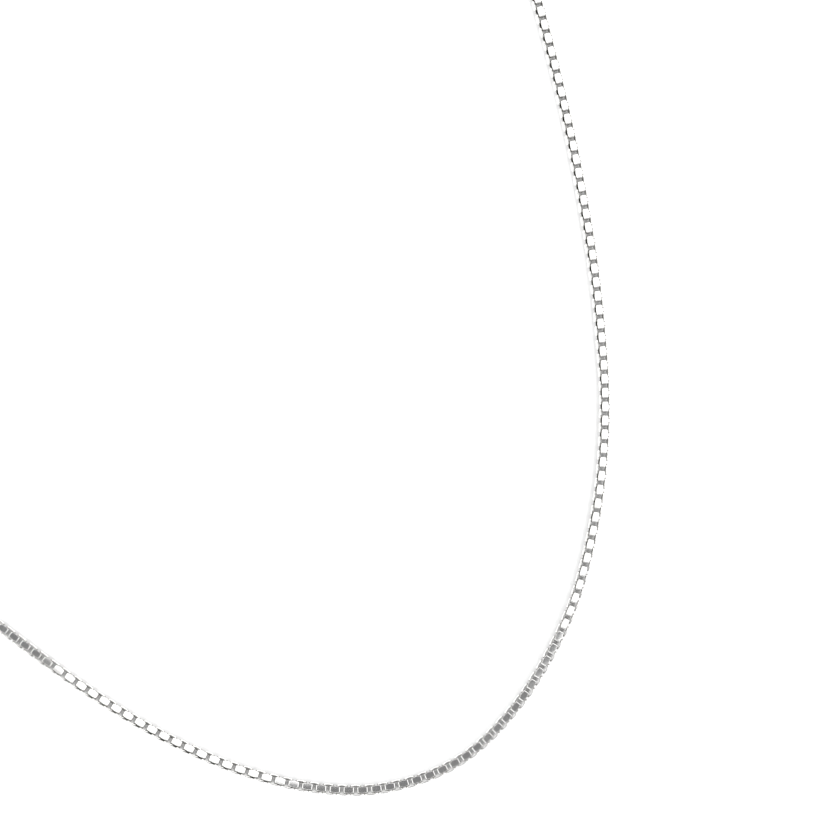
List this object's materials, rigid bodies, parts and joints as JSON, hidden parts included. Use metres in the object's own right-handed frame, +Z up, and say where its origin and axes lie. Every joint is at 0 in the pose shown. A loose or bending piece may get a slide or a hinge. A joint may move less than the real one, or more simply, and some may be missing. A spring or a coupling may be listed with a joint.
{
  "type": "box chain necklace",
  "caption": "Fine box chain necklace of square flat-strip links, lying as one closed egg-shaped loop with a plain barrel clasp at the back.",
  "frame": {"origin": "middle of the necklace seen from above, on the surface it lies on", "axes": "+Z up from the surface, +Y toward the clasp at the back of the neck, -Y toward the front of the loop, +X to the right seen from above with the clasp at the top"},
  "size_m": [0.1054, 0.1788, 0.0024],
  "materials": {
    "chain_metal": "polished silver",
    "clasp_metal": "polished silver"
  },
  "bodies": {
    "root": {"chain": "chain_metal", "clasp": "clasp_metal"}
  },
  "joints": []
}
